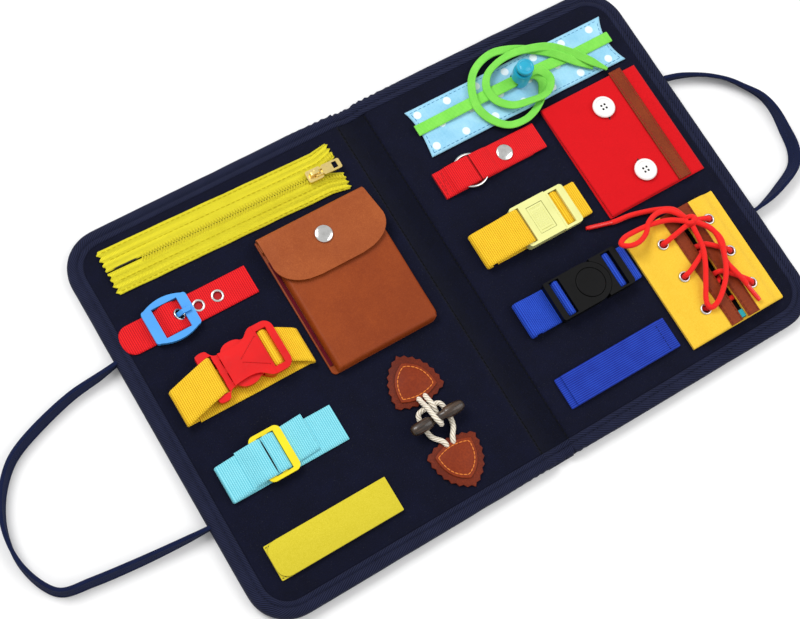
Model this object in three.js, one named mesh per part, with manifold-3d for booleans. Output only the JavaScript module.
// Travel busy board: a folding felt book that lies open on a table, with a cloth spine between two
// stiff pages, a strap handle on each short edge, and dressing fasteners sewn to both inner pages.
// Millimetres. X runs along the open board, Y up the pages and Z off the table. The origin is the
// middle of the spine's underside. Every fastener is drawn in its own frame, on top of the felt.
import * as THREE from 'three';
import { mergeVertices } from 'three/addons/utils/BufferGeometryUtils.js';
import Module from 'manifold-3d';

const wasm = await Module();
wasm.setup();

// Sizes shared by the whole board
const fit = 0.3; // gap between touching pieces
const cut = 2; // how far a cutter runs past what it cuts
const capShare = 0.8; // flat top of a snap's cap, as a share of its radius
const mitreShare = 0.5; // least share of its thickness that a strap keeps in a sharp bend
const cloth = { cover: 1.8, board: 3.4, felt: 2, lining: 1.9 };
const binding = { width: 10, leg: 0.8, web: 1.2 };
const margin = { outer: 19, columns: 6, inner: 10.5, rightInner: 14.5, top: 17, bottom: 13.9, row: 8 };
const strapColumn = 88; // length of every strap fastener's ground
const panelColumn = 79; // width of the pouch and of the two felt panels
const spineWidth = 19;
const cornerRadius = 27;

// Sizes of each fastener
const handle = { strap: 2.6, height: 10, reach: 105, spread: 116 };
const zip = {
  length: 168, width: 31.6, tape: 0.8, rise: 6, split: 1, bead: 2.4, beadHeight: 2.7,
  beadStart: 25, beadEnd: 11, slideAt: 148.5, flare: 14, flareEdge: 2.4, flareInner: 6, pink: 1.2, teeth: 6,
};
const zipTilt = 0.0265;
const slider = {
  length: 11, plate: 1, wall: 1, post: 1.4, postThick: 0.4, corner: 1.6,
  bridge: 8, bridgeWidth: 2, bridgeHeight: 3.6, bridgeWall: 0.9, eyeAt: 0.6,
};
const pull = {
  bar: 0.7, arm: 1, thick: 1.3, neck: 5, width: 7, length: 18.5, hole: 3.4, holeWidth: 4.4, rim: 1.4,
  corner: 1.2, droop: 0.04,
};
const belt = {
  width: 20, strap: 1.3, barAt: 24.3, tip: 35, sewn: 56.5, tipRadius: 8, bar: 1, loop: 0.6,
  crown: 2.6, hole: 2.5, rim: 1.5, rimHeight: 0.4, firstHole: 5.2, pitch: 13.5, holes: 3, holeSides: 16,
};
const beltFrame = {
  left: 16, right: 15, leftBar: 7, rightBar: 6.5, end: 23.4, bow: 3.1, opening: 20.8, thick: 3.2,
    corner: 2.4,
};
const beltAnchor = { width: 15, slot: 4.2, tail: 6, stitched: 2.4 };
const prong = { width: 3, thick: 1.5, tip: 12.8, rise: 2.8, over: 8.4 };
const webbing = { width: 25, thick: 1.4, loop: 2.5 };
const innerBar = { radius: 1.1, at: 3.2, rise: 0.7 };
const clip = { centre: 36.3, up: 7.2, lift: 0.5, base: 5.5 };
const plug = {
  wing: 34.5, root: 23, length: 13.2, bar: 5.6, slot: 3.6, thick: 3.9, armRoot: 4.2, armInner: 7,
    bulge: 15.4,
  reach: 22, rail: 3.4, railReach: 17,
};
const socket = {
  mouth: 23, shoulder: 34, waist: 21, body: 26, tail: 13, slotAt: 1.5, slot: 7, height: 8.4, inner: 27,
  tailThick: 3.6, tailDrop: 0.8, corner: 6, groove: 1, grooveDepth: 0.5,
};
const glide = {
  height: 31.4, side: 2.6, leftBar: 5.4, slit: 4, centreBar: 3.5, rightBar: 4.9, thick: 2.2, corner: 4,
  at: 36.6, up: 1.8, tail: 63, reach: 82, skew: 3.5, crown: 0.5, ramp: 6, dip: 1.1, dipAt: 1.8,
    dipHalf: 1.5,
};
const grip = {
  thick: 1.2, corner: 5, leftLength: 85.4, leftWidth: 23.5, leftInset: 2.9, rightLength: 87, rightWidth: 22,
  rightInset: 4.5,
};
const pouch = {
  height: 99.5, leather: 1.3, hollow: 4.4, frontInset: 3.4, mouth: 16, fold: 3.5, flapDrop: 40.2,
    flapRound: 18,
  snap: 6, snapHeight: 1.6, snapDrop: 17.5, stud: 1.8, studHeight: 0.8, corner: 6, taper: 3,
  tuck: 5.3,
};
const toggleSet = {
  length: 96, patchHeight: 29, patchWidth: 36, leather: 1.3, facing: 0.72, sag: 5, teeth: 14, tooth: 1.2,
  cord: 1.8, wrap: 1.7, strands: 4.8, spread: 9, bridge: 3, behind: 9.4,
};
const toggle = { length: 38, radius: 4.1, groove: 2.6, grooveHalf: 4.8, end: 1.8, endRadius: 2.5 };
const casing = { length: 158, width: 36, thick: 1.6, waist: 4, flare: 3 };
const lace = { width: 8, thick: 1.2, up: 2.5, inset: 10.5 };
const cordLock = {
  radius: 6.6, height: 14.5, floor: 1.4, bore: 4.6, stem: 4.3, cap: 6, capHeight: 2.6, press: 3.2, hole: 5,
  holeWidth: 8.8, at: 82.5, round: 1.2, travel: 18,
};
const snapStrap = {
  width: 19.5, thick: 1.3, ringAt: 27.7, left: 24.5, right: 55.5, ring: 11.5, wire: 1, fold: 3,
    shoulder: 14,
  rest: 17.5, under: 45, snapAt: 27, cap: 5.8, capHeight: 1.8, stud: 1.8, studHeight: 0.8,
};
const feltPanel = {
  height: 87.5, base: 1.2, felt: 1.5, leather: 1.1, hinge: 49, felted: 57.5, edge: 67.5, overlap: 2,
  buttonhole: 19, buttonholeWidth: 3, buttonAt: 40, buttonHalf: 26, slant: 1.5,
};
const button = { radius: 7.9, thick: 2.5, dish: 0.7, rim: 1.6, well: 2.4, shank: 1.2, hole: 0.9,
  spacing: 1.9 };
const pressClip = {
  width: 29.5, length: 28.5, height: 7.2, bar: 3.6, slot: 3.2, plateFrom: 5, plateLength: 12,
    plateWidth: 19.4,
  plateThick: 1.8, tongue: 14, tongueWidth: 15, tongueThick: 2, tongueLift: 1.2, frame: 15, frameBar: 3,
  frameSlot: 7, frameThick: 4.4, corner: 2.5, seamAt: 60.2, hook: 1.5,
};
const pushClip = {
  width: 28, height: 7.6, left: 29.5, bar: 4, slot: 7.5, nose: 14, button: 10, buttonThick: 3.4,
    right: 27.5,
  rightBar: 4.6, rightSlot: 7, tail: 5.8, arm: 2, armReach: 6, armThick: 2.4, armLift: 1.6, edge: 1.2,
    press: 2,
  buttonAt: 53.2, proud: 0.4, corner: 2,
};
const lacing = {
  shift: 2, width: 75, height: 86.5, base: 1, leather: 1, felt: 1.3, strip: 9.5, gap: 4.4, gapAt: 41,
    seam: 4.7,
  eyelet: 2.6, rim: 1.2, rimHeight: 0.5, leftEyelet: 8.7, rightEyelet: 6.3, level: 4.5, pitch: 25.5,
  topEyelet: 17, lace: 1.8, aglet: 1.5,
};

// Where each row sits, as a share of half the page height
const rowShares = {
  belt: 0.447, clip: 0.055, glide: -0.336, grip: -0.739,
  casing: 0.7, snap: 0.42, press: 0.042, push: -0.35, buttons: 0.2, laces: -0.552,
};

// Places that follow from the sizes
const pageWidth = margin.outer + strapColumn + margin.columns + panelColumn + margin.inner;
const pageHeight = margin.top + zip.width + margin.row + pouch.height + margin.row + toggleSet.length
  + margin.bottom;
const pageTop = cloth.cover + fit + cloth.board + fit + cloth.felt;
const spineTop = cloth.cover + fit + cloth.lining;
const ground = pageTop + fit;
const halfSpine = spineWidth / 2;
const halfPage = pageHeight / 2;
const outerEdge = halfSpine + fit + pageWidth;
const leftColumn = -outerEdge + margin.outer;
const rightColumn = halfSpine + margin.rightInner;
const leftPanel = -outerEdge + margin.outer + strapColumn + margin.columns;
const rightPanel = rightColumn + strapColumn - fit + margin.columns;

// Finishes
function finish(colour, roughness, metalness = 0) {
  return new THREE.MeshStandardMaterial({ color: colour, roughness, metalness });
}
const finishes = {
  navyFelt: finish('#15172e', 0.95), navyTwill: finish('#262a48', 0.85), navyStrap: finish('#1f2850', 0.8),
  board: finish('#8c8478', 0.9), zipTape: finish('#e6da3c', 0.8), brass: finish('#d8b04a', 0.35, 0.9),
  redWeb: finish('#eb1e2c', 0.75), blueFrame: finish('#57b1f4', 0.35), goldWeb: finish('#f3c634', 0.75),
  redClip: finish('#f22b2b', 0.3), aquaWeb: finish('#8fe3ec', 0.75), yellowGlide: finish('#ecd81c', 0.35),
  yellowGrip: finish('#e8db3f', 0.9), leather: finish('#9c4a26', 0.5), steel: finish('#d7d9da', 0.2, 1),
  patch: finish('#a8442a', 0.6), horn: finish('#4a382c', 0.25),
  casing: finish('#98cde6', 0.85), greenLace: finish('#71e451', 0.8), cyanLock: finish('#2cb2cf', 0.35),
  redFelt: finish('#ea1f2d', 0.95), whiteButton: finish('#f2f0f0', 0.3), cream: finish('#e9e4a9', 0.4),
  black: finish('#202121', 0.4), blueWeb: finish('#2b45cb', 0.75), yellowFelt: finish('#fbd046', 0.95),
  redLace: finish('#f71f18', 0.7),
};

// Solids

// Welds a closed geometry and hands it to the boolean library
function solidOf(geometry) {
  const bare = geometry.clone();
  bare.deleteAttribute('normal');
  bare.deleteAttribute('uv');
  const welded = mergeVertices(bare);
  return new wasm.Manifold(new wasm.Mesh({
    numProp: 3,
    vertProperties: new Float32Array(welded.attributes.position.array),
    triVerts: new Uint32Array(welded.index.array),
  }));
}

function joined(...solids) {
  return solids.reduce((sum, next) => sum.add(next));
}

function cutBy(body, ...tools) {
  return tools.reduce((left, tool) => left.subtract(tool), body);
}

function mirroredY(solid) {
  return solid.mirror([0, 1, 0]);
}

function addPiece(parent, name, solid, material) {
  const mesh = solid.getMesh();
  const geometry = new THREE.BufferGeometry();
  geometry.setAttribute('position', new THREE.BufferAttribute(new Float32Array(mesh.vertProperties), 3));
  geometry.setIndex(new THREE.BufferAttribute(new Uint32Array(mesh.triVerts), 1));
  geometry.computeVertexNormals();
  const piece = new THREE.Mesh(geometry, material);
  piece.name = name;
  parent.add(piece);
  return piece;
}

function box(x0, x1, y0, y1, z0, z1) {
  const block = new THREE.BoxGeometry(x1 - x0, y1 - y0, z1 - z0);
  block.translate((x0 + x1) / 2, (y0 + y1) / 2, (z0 + z1) / 2);
  return solidOf(block);
}

// Upright slab from an outline in the XY plane
function slab(shape, z0, z1, curveSegments = 4) {
  const geometry = new THREE.ExtrudeGeometry(shape, { depth: z1 - z0, bevelEnabled: false, curveSegments });
  geometry.translate(0, 0, z0);
  return solidOf(geometry);
}

// Slab from an outline in the XZ plane, centred on y
function crossBand(shape, y, width, curveSegments = 4) {
  const geometry = new THREE.ExtrudeGeometry(shape, { depth: width, bevelEnabled: false, curveSegments });
  geometry.rotateX(Math.PI / 2);
  geometry.translate(0, y + width / 2, 0);
  return solidOf(geometry);
}

// Slab from an outline in the YZ plane, between x0 and x1
function longBand(shape, x0, x1, curveSegments = 4) {
  const geometry = new THREE.ExtrudeGeometry(shape, { depth: x1 - x0, bevelEnabled: false, curveSegments });
  const axes = [new THREE.Vector3(0, 1, 0), new THREE.Vector3(0, 0, 1), new THREE.Vector3(1, 0, 0)];
  geometry.applyMatrix4(new THREE.Matrix4().makeBasis(...axes));
  geometry.translate(x0, 0, 0);
  return solidOf(geometry);
}

function disc(x, y, radius, z0, z1, sides = 24) {
  const geometry = new THREE.CylinderGeometry(radius, radius, z1 - z0, sides);
  geometry.rotateX(Math.PI / 2);
  geometry.translate(x, y, (z0 + z1) / 2);
  return solidOf(geometry);
}

// Turned solid: profile of [radius, height] pairs about an upright axis
function turned(profile, x, y, sides = 24) {
  const geometry = new THREE.LatheGeometry(profile.map(([r, z]) => new THREE.Vector2(r, z)), sides);
  geometry.rotateX(Math.PI / 2);
  geometry.translate(x, y, 0);
  return solidOf(geometry);
}

// Straight round bar along Y
function rodY(x, z, radius, y0, y1, sides = 14) {
  const geometry = new THREE.CylinderGeometry(radius, radius, y1 - y0, sides);
  geometry.translate(x, (y0 + y1) / 2, z);
  return solidOf(geometry);
}

function polygon(points) {
  return new THREE.Shape(points.map(([x, y]) => new THREE.Vector2(x, y)));
}

// Rectangle whose four corners (lower left, lower right, upper right, upper left) have their own radius
function roundedRect(x0, x1, y0, y1, radii) {
  const [a, b, c, d] = Array.isArray(radii) ? radii : [radii, radii, radii, radii];
  const shape = new THREE.Shape();
  shape.moveTo(x0 + a, y0);
  shape.lineTo(x1 - b, y0);
  if (b > 0) shape.absarc(x1 - b, y0 + b, b, -Math.PI / 2, 0, false);
  shape.lineTo(x1, y1 - c);
  if (c > 0) shape.absarc(x1 - c, y1 - c, c, 0, Math.PI / 2, false);
  shape.lineTo(x0 + d, y1);
  if (d > 0) shape.absarc(x0 + d, y1 - d, d, Math.PI / 2, Math.PI, false);
  shape.lineTo(x0, y0 + a);
  if (a > 0) shape.absarc(x0 + a, y0 + a, a, Math.PI, Math.PI * 1.5, false);
  return shape;
}

// Arc as a run of [u, v] pairs
function arc(u, v, radius, from, to, steps = 8) {
  const points = [];
  for (let i = 0; i <= steps; i += 1) {
    const angle = from + ((to - from) * i) / steps;
    points.push([u + radius * Math.cos(angle), v + radius * Math.sin(angle)]);
  }
  return points;
}

// Outline of a strap of even thickness that follows a centre line, with mitred bends
function strapOutline(line, thickness) {
  const points = line.map(([u, v]) => new THREE.Vector2(u, v));
  const left = [];
  const right = [];
  points.forEach((point, i) => {
    const before = points[Math.max(i - 1, 0)];
    const after = points[Math.min(i + 1, points.length - 1)];
    const into = point.clone().sub(before);
    const out = after.clone().sub(point);
    if (into.length() === 0) into.copy(out);
    if (out.length() === 0) out.copy(into);
    const along = into.normalize().add(out.normalize()).normalize();
    const side = new THREE.Vector2(-along.y, along.x);
    const spread = thickness / 2 / Math.max(Math.abs(along.dot(out)), mitreShare);
    left.push(point.clone().addScaledVector(side, spread));
    right.push(point.clone().addScaledVector(side, -spread));
  });
  return new THREE.Shape([...right, ...left.reverse()]);
}

// Closed cord of an even section along a route of [x, y, z] points; a level one stays flat to the felt
function sweep(route, perPoint, thick, wide = thick, level = false) {
  const path = new THREE.CatmullRomCurve3(route.map((p) => new THREE.Vector3(...p)), false, 'centripetal');
  const steps = (route.length - 1) * perPoint;
  const [t, w] = [thick / 2, wide / 2];
  const section = level
    ? polygon([[-w, 0], [-w + t, -t], [w - t, -t], [w, 0], [w - t, t], [-w + t, t]])
    : polygon(arc(0, 0, t, 0, Math.PI * 2, 8).slice(1));
  const geometry = new THREE.ExtrudeGeometry(section, { steps, depth: 1, bevelEnabled: false });
  const up = new THREE.Vector3(0, 0, 1);
  const frames = [];
  let normal = new THREE.Vector3(0, 0, 1);
  for (let i = 0; i <= steps; i += 1) {
    const tangent = path.getTangent(i / steps);
    if (i === 0 && Math.abs(tangent.z) > Math.SQRT1_2) normal = new THREE.Vector3(1, 0, 0);
    const guide = level ? up : normal;
    normal = guide.clone().addScaledVector(tangent, -guide.dot(tangent)).normalize();
    frames.push({ place: path.getPoint(i / steps), normal, side: new THREE.Vector3().crossVectors(normal,
      tangent) });
  }
  const places = geometry.attributes.position;
  for (let i = 0; i < places.count; i += 1) {
    const { place, normal: rise, side } = frames[Math.round(places.getZ(i) * steps)];
    const point = place.clone().addScaledVector(side, places.getX(i)).addScaledVector(rise, places.getY(i));
    places.setXYZ(i, point.x, point.y, point.z);
  }
  return solidOf(geometry);
}

// Leans a strap sideways beyond x0, to the left or the right, as one that runs a little askew
function skewed(solid, x0, side, slope) {
  return solid.warp((v) => {
    v[1] += Math.max((v[0] - x0) * side, 0) * slope;
  });
}

// Board

const board = new THREE.Group();
board.name = 'travel_busy_board';

// Page outline on the right side: square at the spine, cut round at the two outer corners
function pageShape(inset, side, innerInset = inset) {
  const r = cornerRadius - inset;
  const from = halfSpine + fit + innerInset;
  const to = outerEdge - inset;
  const bottom = -halfPage + inset;
  const top = halfPage - inset;
  return side > 0
    ? roundedRect(from, to, bottom, top, [0, r, r, 0])
    : roundedRect(-to, -from, bottom, top, [r, 0, 0, r]);
}

// The cover wraps the edge: a base sheet, a web up the side and a leg that lies on the felt's rim
function coverSolid(side) {
  const whole = slab(pageShape(0, side), 0, pageTop, 8);
  const room = slab(pageShape(binding.web, side, 0 - cut), cloth.cover, pageTop - binding.leg);
  const opening = slab(pageShape(binding.width, side, 0 - cut), cloth.cover, pageTop + cut);
  return cutBy(whole, room, opening);
}

function feltSolid(side) {
  const bottom = cloth.cover + fit + cloth.board + fit;
  const rim = pageTop - binding.leg - fit;
  const wide = slab(pageShape(binding.web + fit, side, 0), bottom, rim);
  return joined(wide, slab(pageShape(binding.width + fit, side, 0), bottom, pageTop));
}

function stiffenerSolid(side) {
  const bottom = cloth.cover + fit;
  return slab(pageShape(binding.web + fit, side, fit), bottom, bottom + cloth.board);
}

// Handle: a strap on edge that bows out from the page's edge, with a crease or two as it was packed
function handleSolid(side, middle, bow) {
  const half = handle.spread / 2;
  const start = outerEdge + fit;
  const line = bow.map(([u, v]) => new THREE.Vector2(side * (start + u * handle.reach), middle + v * half));
  const points = new THREE.SplineCurve(line).getPoints(bow.length * 2).map((p) => [p.x, p.y]);
  const ribbon = slab(strapOutline(points, handle.strap), 0, handle.height);
  const beyond = [side * start, side * (outerEdge - handle.reach)].sort((a, b) => a - b);
  return cutBy(ribbon, box(beyond[0], beyond[1], -pageHeight, pageHeight, -cut, handle.height + cut));
}
const bowShares = {
  left: [[-0.03, 1.01], [0.1, 0.97], [0.33, 0.91], [0.7, 0.68], [0.81, 0.54], [0.92, 0.28], [0.985, -0.03],
    [0.995, -0.37], [0.94, -0.69], [0.87, -0.84], [0.7, -0.9], [0.42, -0.96], [0.12, -1], [-0.03, -1.01]],
  right: [[-0.03, 0.97], [0.1, 0.91], [0.27, 0.77], [0.39, 0.6], [0.46, 0.43], [0.53, 0.22], [0.55, 0],
    [0.53, -0.28], [0.5, -0.54], [0.43, -0.72], [0.24, -0.87], [0.1, -0.94], [-0.03, -0.97]],
};

addPiece(board, 'spine_cover', box(-halfSpine, halfSpine, -halfPage, halfPage, 0, cloth.cover),
  finishes.navyTwill);
addPiece(board, 'spine_lining', box(-halfSpine, halfSpine, -halfPage, halfPage, cloth.cover + fit,
  spineTop),
  finishes.navyFelt);
for (const [side, name, middle] of [[-1, 'left', -margin.outer / 4], [1, 'right', -margin.outer / 8]]) {
  addPiece(board, `${name}_cover`, coverSolid(side), finishes.navyTwill);
  addPiece(board, `${name}_stiffener`, stiffenerSolid(side), finishes.board);
  addPiece(board, `${name}_felt`, feltSolid(side), finishes.navyFelt);
  addPiece(board, `${name}_handle`, handleSolid(side, middle, bowShares[name]), finishes.navyStrap);
}

// A group that stands on the felt, in which one fastener is drawn about its own middle
function station(x, y, turn = 0) {
  const group = new THREE.Group();
  group.position.set(x, y, ground);
  group.rotation.z = turn;
  board.add(group);
  return group;
}

// Zip: two tapes that rise to a round bead on each side of the middle, and a slider round both beads

const leftSpan = strapColumn + margin.columns + panelColumn;
const zipGroup = station(leftColumn + leftSpan / 2, halfPage - margin.top - zip.width / 2, -zipTilt);
const zipHalf = zip.length / 2;
const beadLow = slider.plate + fit;
const beadTop = beadLow + zip.beadHeight;
const beadOut = zip.split / 2 + zip.bead;
const tapeTop = beadLow + zip.tape;
const sliderHalf = beadOut + fit + slider.wall;

// Zigzag line from (x, y0) to (x, y1), with pinked points that reach out by depth
function pinkedLine(x, y0, y1, teeth, depth) {
  const points = [];
  for (let i = 0; i <= teeth; i += 1) {
    points.push([x + (i % 2) * depth, y0 + ((y1 - y0) * i) / teeth]);
  }
  return points;
}

function tapeSolid() {
  const shoulder = sliderHalf + fit;
  const edge = zip.width / 2;
  const flat = [[edge, 0], [edge, zip.tape], [shoulder + zip.rise, zip.tape], [shoulder, tapeTop],
    [zip.split / 2, tapeTop], [zip.split / 2, beadLow], [shoulder, beadLow], [shoulder + zip.rise, 0]];
  const middle = (zip.split / 2 + beadOut) / 2;
  const bead = polygon(arc(0, 0, 1, 0, Math.PI * 2, 8).slice(1)
    .map(([u, v]) => [middle + (u * zip.bead) / 2,
      beadLow + zip.beadHeight / 2 + (v * zip.beadHeight) / 2]));
  const flareFrom = zipHalf - zip.flare;
  const beadFrom = -zipHalf + zip.beadStart;
  const beadTo = zipHalf - zip.beadEnd;
  const straight = joined(longBand(polygon(flat), -zipHalf - zip.pink, flareFrom),
    longBand(bead, beadFrom, flareFrom));
  const flared = joined(longBand(polygon(flat), flareFrom, zipHalf + zip.pink),
    longBand(bead, flareFrom, beadTo))
    .warp((v) => {
      const inward = 1 - v[1] / edge;
      v[1] += ((v[0] - flareFrom) / zip.flare) * (zip.flareEdge + (zip.flareInner - zip.flareEdge)
        * inward);
    });
  const wide = edge + zip.flareInner;
  const outline = polygon([...pinkedLine(zipHalf, -cut, wide, zip.teeth, zip.pink),
    ...pinkedLine(-zipHalf, wide, -cut, zip.teeth, -zip.pink)]);
  return joined(straight, flared).intersect(slab(outline, -cut, beadTop + cut));
}
const tape = tapeSolid();
addPiece(zipGroup, 'zip_tape_upper', tape, finishes.zipTape);
addPiece(zipGroup, 'zip_tape_lower', mirroredY(tape), finishes.zipTape);

// The slider's two plates are joined by the post that parts the beads; the upper one has side walls
const slideX = -zipHalf + zip.slideAt;
const upperPlate = beadTop + fit;
const slideTop = upperPlate + slider.plate;
const eyeZ = slideTop + fit + pull.bar;
function sliderSolid() {
  const half = slider.length / 2;
  const outline = roundedRect(-half, half, -sliderHalf, sliderHalf, slider.corner);
  const room = box(-half - cut, half + cut, -sliderHalf + slider.wall, sliderHalf - slider.wall,
    slider.plate, upperPlate);
  const slot = box(-half - cut, half + cut, -sliderHalf - cut, sliderHalf + cut, slider.plate,
    tapeTop + fit);
  const shell = cutBy(slab(outline, 0, slideTop), room, slot);
  const post = box(half - slider.post * 2, half - slider.post, -slider.postThick / 2, slider.postThick / 2,
    slider.plate / 2, upperPlate + slider.plate / 2);
  const left = -slider.bridge / 2;
  const right = slider.bridge / 2;
  const arch = new THREE.Shape();
  arch.moveTo(left, slideTop - slider.plate / 2);
  arch.lineTo(right, slideTop - slider.plate / 2);
  arch.quadraticCurveTo(right, slideTop + slider.bridgeHeight, right / 2, slideTop + slider.bridgeHeight);
  arch.lineTo(left / 2, slideTop + slider.bridgeHeight);
  arch.quadraticCurveTo(left, slideTop + slider.bridgeHeight, left, slideTop - slider.plate / 2);
  const under = roundedRect(left + slider.bridgeWall, right - slider.bridgeWall, slideTop,
    slideTop + slider.bridgeHeight - slider.bridgeWall, slider.bridgeWall / 2);
  const bridge = cutBy(crossBand(arch, 0, slider.bridgeWidth),
    crossBand(under, 0, slider.bridgeWidth + cut));
  return joined(shell, post, bridge);
}
addPiece(zipGroup, 'zip_slider', sliderSolid(), finishes.brass).position.x = slideX;

// The pull's bar passes under the bridge, and two arms carry the plate past it
function pullSolid() {
  const armOut = slider.bridgeWidth / 2 + fit + pull.arm;
  const bar = rodY(0, 0, pull.bar, -armOut, armOut, 12);
  const arms = [-1, 1].map((side) => {
    const [y0, y1] = [side * (armOut - pull.arm), side * armOut].sort((a, b) => a - b);
    return box(0, pull.neck + fit, y0, y1, -pull.thick / 2, pull.thick / 2);
  });
  const end = pull.length - pull.corner;
  const plate = slab(roundedRect(pull.neck, pull.length, -pull.width / 2, pull.width / 2, pull.corner),
    -pull.thick / 2, pull.thick / 2);
  const hole = box(end - pull.rim - pull.hole, end - pull.rim, -pull.holeWidth / 2, pull.holeWidth / 2,
    -cut, cut);
  return joined(bar, ...arms, cutBy(plate, hole));
}
const pullPiece = addPiece(zipGroup, 'zip_pull', pullSolid(), finishes.brass);
pullPiece.position.set(slideX + slider.eyeAt, 0, eyeZ);
pullPiece.rotation.y = pull.droop;

// Belt: drawn about the frame's centre bar, with the strap's tip to the left

const beltGroup = station(leftColumn + belt.barAt, halfPage * rowShares.belt);
const barZ = belt.bar + fit + belt.loop;
const loopTop = barZ * 2;
const frameLow = belt.strap + fit + fit / 2;
const frameTop = frameLow + beltFrame.thick;
const openLeft = -beltFrame.left + beltFrame.leftBar;
const openRight = beltFrame.right - beltFrame.rightBar;

function beltStrapSolid() {
  const low = belt.strap / 2;
  const high = loopTop + fit + belt.strap / 2;
  const line = [[-belt.tip, low], [openLeft + fit * 2, low], [-belt.crown, high], [belt.crown, high],
    [openRight - fit * 2, low], [belt.sewn, low]];
  const strap = crossBand(strapOutline(line, belt.strap), 0, belt.width);
  const tip = roundedRect(-belt.tip, belt.sewn, -belt.width / 2, belt.width / 2,
    [belt.tipRadius, 0, 0, belt.tipRadius]);
  const shaped = strap.intersect(slab(tip, -cut, high + cut));
  const collars = [];
  const holes = [];
  for (let i = 0; i < belt.holes; i += 1) {
    const x = belt.firstHole + i * belt.pitch;
    if (i > 0) collars.push(disc(x, 0, belt.hole + belt.rim, belt.strap / 2, belt.strap + belt.rimHeight,
      belt.holeSides));
    holes.push(disc(x, 0, belt.hole, -cut, high + cut, belt.holeSides));
    if (i === 0) holes.push(disc(x - fit * 3, 0, belt.hole, -cut, high + cut, belt.holeSides));
  }
  return cutBy(joined(shaped, ...collars), ...holes);
}
addPiece(beltGroup, 'belt_strap', beltStrapSolid(), finishes.redWeb);

function beltAnchorSolid() {
  const ring = crossBand(polygon(arc(0, barZ, barZ, 0, Math.PI * 2, 16).slice(1)), 0, beltAnchor.width);
  const tail = box(-beltAnchor.tail, 0, -beltAnchor.width / 2, beltAnchor.width / 2, 0, belt.loop);
  const bore = rodY(0, barZ, belt.bar + fit, -belt.width, belt.width);
  const notch = box(-beltAnchor.tail + beltAnchor.stitched, belt.width, -beltAnchor.slot / 2,
    beltAnchor.slot / 2, -cut, loopTop + cut);
  return cutBy(joined(ring, tail), bore, notch);
}
addPiece(beltGroup, 'belt_anchor', beltAnchorSolid(), finishes.redWeb);

// Frame: bowed long sides round a straight opening, and a round bar let into both sides
function beltFrameSolid() {
  const [left, right, half, c] = [-beltFrame.left, beltFrame.right, beltFrame.end / 2, beltFrame.corner];
  const middle = (left + right) / 2;
  const shape = new THREE.Shape();
  shape.moveTo(left + c, -half);
  shape.quadraticCurveTo(middle, -half - beltFrame.bow * 2, right - c, -half);
  shape.quadraticCurveTo(right, -half, right, -half + c);
  shape.lineTo(right, half - c);
  shape.quadraticCurveTo(right, half, right - c, half);
  shape.quadraticCurveTo(middle, half + beltFrame.bow * 2, left + c, half);
  shape.quadraticCurveTo(left, half, left, half - c);
  shape.lineTo(left, -half + c);
  shape.quadraticCurveTo(left, -half, left + c, -half);
  const opening = box(openLeft, openRight, -beltFrame.opening / 2, beltFrame.opening / 2, frameLow - cut,
    frameTop + cut);
  const bar = rodY(0, barZ, belt.bar, -beltFrame.end / 2 - beltFrame.bow / 2,
    beltFrame.end / 2 + beltFrame.bow / 2);
  return joined(cutBy(slab(shape, frameLow, frameTop, 9), opening), bar);
}
addPiece(beltGroup, 'belt_buckle_frame', beltFrameSolid(), finishes.blueFrame);

// Prong: wraps the bar in the anchor's notch, comes up through the first hole and rests on the frame
function prongSolid() {
  const over = frameTop + fit + prong.thick / 2;
  const line = [[0, barZ], [prong.rise, barZ], [prong.over - prong.thick / 2, over], [prong.tip, over]];
  const arm = crossBand(strapOutline(line, prong.thick), 0, prong.width);
  const eye = rodY(0, barZ, belt.bar + fit + belt.loop, -prong.width / 2, prong.width / 2);
  return cutBy(joined(arm, eye), rodY(0, barZ, belt.bar + fit, -prong.width, prong.width));
}
addPiece(beltGroup, 'belt_prong', prongSolid(), finishes.blueFrame);

// Webbing at a buckle: it folds back on the felt and then is held by one of the buckle's bars

function foldLine(endX, side, radius) {
  const middle = endX - side * (radius + webbing.thick / 2);
  const last = side > 0 ? Math.PI / 2 : -Math.PI * 1.5;
  return arc(middle, webbing.thick / 2 + radius, radius, -Math.PI / 2, last, 10);
}

// From the fold up over the buckle's end bar, whose outer face is at edge, and down its slot
function overBarLine(endX, edge, slotX, over, low) {
  const t = webbing.thick / 2;
  const side = Math.sign(endX - slotX);
  return [...foldLine(endX, side, webbing.loop), [edge + side * webbing.thick, over + t],
    [slotX + side * t * 2, over + t], [slotX, over - t], [slotX, low]];
}

// From the fold at the level of under beneath the end bar, up over the round bar in the slot and down
function innerBarLine(endX, radius, edge, barX, barZ, under, low) {
  const side = Math.sign(endX - barX);
  const reach = innerBar.radius + fit + webbing.thick / 2;
  const over = arc(barX, barZ, reach, side > 0 ? 0 : Math.PI, side > 0 ? Math.PI : 0, 8);
  return [...foldLine(endX, side, radius), [edge, under], [barX + side * (reach + innerBar.rise), under],
    ...over, [barX - side * reach, low]];
}

// Height of the round bar when the webbing over it stays below top
function innerBarHeight(top) {
  return top - fit - webbing.thick - fit - innerBar.radius;
}

function innerBarSolid(barX, barZ, reach) {
  return rodY(barX, barZ, innerBar.radius, -reach, reach, 12);
}

function webbingBand(line) {
  return crossBand(strapOutline(line, webbing.thick), 0, webbing.width);
}

// Side-release clip: drawn about the middle of the socket's mouth, with the plug to the left

const clipGroup = station(leftColumn + clip.centre, halfPage * rowShares.clip + clip.up);
const clipLow = webbing.thick + clip.lift;
const clipTop = clipLow + socket.height;
const plugLow = clipLow + (socket.height - plug.thick) / 2;
const plugTop = plugLow + plug.thick;
const socketEnd = socket.body + socket.tail;
const tailTop = clipTop - socket.tailDrop;
const tailLow = tailTop - socket.tailThick;
const tailBarX = socket.body + socket.slotAt + innerBar.at;
const tailBarZ = innerBarHeight(tailTop - fit);
const slotHalf = webbing.width / 2 + fit;

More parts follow.
